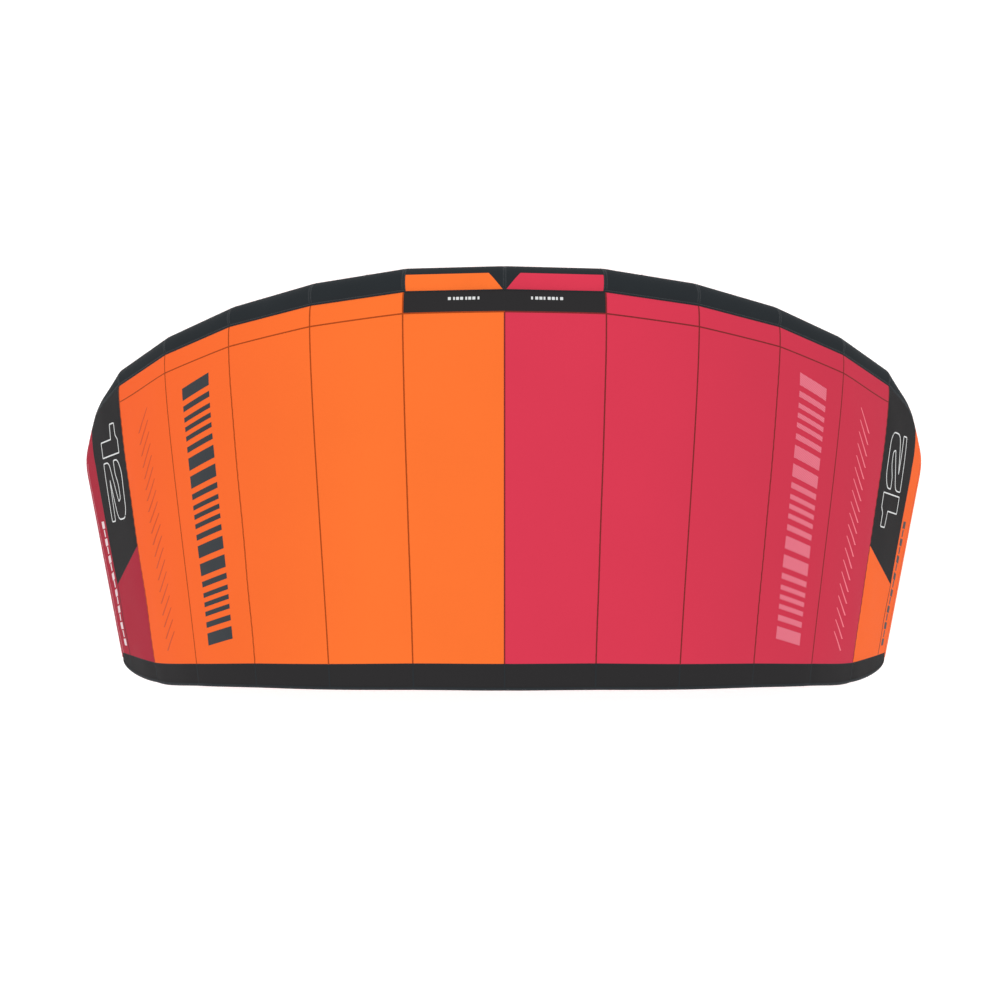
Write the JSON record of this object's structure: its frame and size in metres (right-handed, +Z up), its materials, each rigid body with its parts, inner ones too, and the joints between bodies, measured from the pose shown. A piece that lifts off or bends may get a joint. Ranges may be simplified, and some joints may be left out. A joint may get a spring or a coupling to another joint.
{
  "type": "kitesurf kite",
  "caption": "Inflatable arched kitesurf kite: tapered leading-edge tube, cambered sewn canopy, air struts, valves, hoses with pinch clips and line tabs.",
  "frame": {"origin": "on the ground, under the middle of the kite as it stands on its two wing tips", "axes": "+X to the kite's right as seen from behind the trailing edge, along the span; +Y towards the leading edge; +Z up"},
  "size_m": [5.1, 2.2501, 1.7908],
  "materials": {
    "canopy_orange": "coated ripstop polyester",
    "canopy_crimson": "coated ripstop polyester",
    "canopy_charcoal": "coated ripstop polyester",
    "tip_crimson": "heavier woven polyester",
    "tip_orange": "heavier woven polyester",
    "tube_charcoal": "heavy woven polyester sailcloth",
    "bladder_film": "translucent film",
    "hose_clear": "clear smooth hose",
    "valve_grey": "moulded, fine texture",
    "cap_orange": "moulded, satin",
    "clip_black": "moulded, satin",
    "pin_steel": "plain",
    "webbing": "woven webbing"
  },
  "bodies": {
    "kite": {"canopy_panel_1_left": "canopy_orange", "canopy_panel_1_right": "canopy_crimson", "canopy_panel_2_left": "canopy_orange", "canopy_panel_2_right": "canopy_crimson", "canopy_panel_3_left": "canopy_orange", "canopy_panel_3_right": "canopy_crimson", "canopy_panel_4_left": "canopy_orange", "canopy_panel_4_right": "canopy_crimson", "canopy_panel_5_left": "canopy_orange", "canopy_panel_5_right": "canopy_crimson", "clip_frames": "clip_black", "dump_valve_body": "valve_grey", "front_band_centre_left": "canopy_charcoal", "front_band_centre_right": "canopy_charcoal", "front_band_outer_left": "canopy_orange", "front_band_outer_right": "canopy_crimson", "hinge_pins": "pin_steel", "hose_nipples": "valve_grey", "inflate_valve_body": "valve_grey", "leading_edge_1_left": "tube_charcoal", "leading_edge_1_right": "tube_charcoal", "leading_edge_2_left": "tube_charcoal", "leading_edge_2_right": "tube_charcoal", "leading_edge_3_left": "tube_charcoal", "leading_edge_3_right": "tube_charcoal", "leading_edge_4_left": "tube_charcoal", "leading_edge_4_right": "tube_charcoal", "leading_edge_5_left": "tube_charcoal", "leading_edge_5_right": "tube_charcoal", "leading_edge_bladder": "bladder_film", "line_tabs": "webbing", "pump_hoses": "hose_clear", "strut_bladders": "bladder_film", "strut_centre": "tube_charcoal", "strut_inner_left": "tube_charcoal", "strut_inner_right": "tube_charcoal", "strut_outer_left": "tube_charcoal", "strut_outer_right": "tube_charcoal", "tip_bend_left": "tube_charcoal", "tip_bend_right": "tube_charcoal", "tip_panel_front_left": "canopy_charcoal", "tip_panel_front_right": "canopy_charcoal", "tip_panel_rear_left": "tip_crimson", "tip_panel_rear_right": "tip_orange", "tip_strip_left": "tip_crimson", "tip_strip_right": "tip_orange", "tip_tube_left": "tip_crimson", "tip_tube_right": "tip_orange", "trailing_band_left": "canopy_charcoal", "trailing_band_right": "canopy_charcoal"},
    "clip_lever_centre": {"clip_lever_centre": "cap_orange"},
    "clip_lever_inner_left": {"clip_lever_inner_left": "cap_orange"},
    "clip_lever_inner_right": {"clip_lever_inner_right": "cap_orange"},
    "clip_lever_outer_left": {"clip_lever_outer_left": "cap_orange"},
    "clip_lever_outer_right": {"clip_lever_outer_right": "cap_orange"},
    "inflate_valve_cap": {"inflate_valve_cap": "cap_orange"},
    "dump_valve_cap": {"dump_valve_cap": "cap_orange"},
    "inflate_valve_flap": {"inflate_valve_flap": "valve_grey"}
  },
  "joints": [
    {"name": "clip_centre_lift", "type": "hinge", "parent": "kite", "child": "clip_lever_centre", "pos_m": [0, 0.89829, 1.54118], "axis": [-1, 0, 0], "range_deg": [0, 75]},
    {"name": "clip_inner_left_lift", "type": "hinge", "parent": "kite", "child": "clip_lever_inner_left", "pos_m": [-0.91561, 0.84595, 1.35411], "axis": [-0.9234, -0.0317, -0.3825], "range_deg": [0, 75]},
    {"name": "clip_inner_right_lift", "type": "hinge", "parent": "kite", "child": "clip_lever_inner_right", "pos_m": [0.91561, 0.84595, 1.35411], "axis": [-0.9234, 0.0317, 0.3825], "range_deg": [0, 75]},
    {"name": "clip_outer_left_lift", "type": "hinge", "parent": "kite", "child": "clip_lever_outer_left", "pos_m": [-1.7319, 0.65878, 0.86309], "axis": [-0.7305, -0.0471, -0.6812], "range_deg": [0, 75]},
    {"name": "clip_outer_right_lift", "type": "hinge", "parent": "kite", "child": "clip_lever_outer_right", "pos_m": [1.7319, 0.65878, 0.86309], "axis": [-0.7305, 0.0471, 0.6812], "range_deg": [0, 75]},
    {"name": "inflate_cap_open", "type": "hinge", "parent": "kite", "child": "inflate_valve_cap", "pos_m": [-0.26571, 0.93135, 1.56024], "axis": [0.0757, 0.6166, -0.7836], "range_deg": [0, 150]},
    {"name": "dump_cap_open", "type": "hinge", "parent": "kite", "child": "dump_valve_cap", "pos_m": [0.26571, 0.93135, 1.56024], "axis": [0.0757, -0.6166, 0.7836], "range_deg": [0, 150]},
    {"name": "check_flap_travel", "type": "slide", "parent": "kite", "child": "inflate_valve_flap", "axis": [-0.0705, 0.7872, 0.6127], "range_m": [0, 0.0045], "stiffness_N_per_m": 120, "springref_m": -0.002}
  ]
}
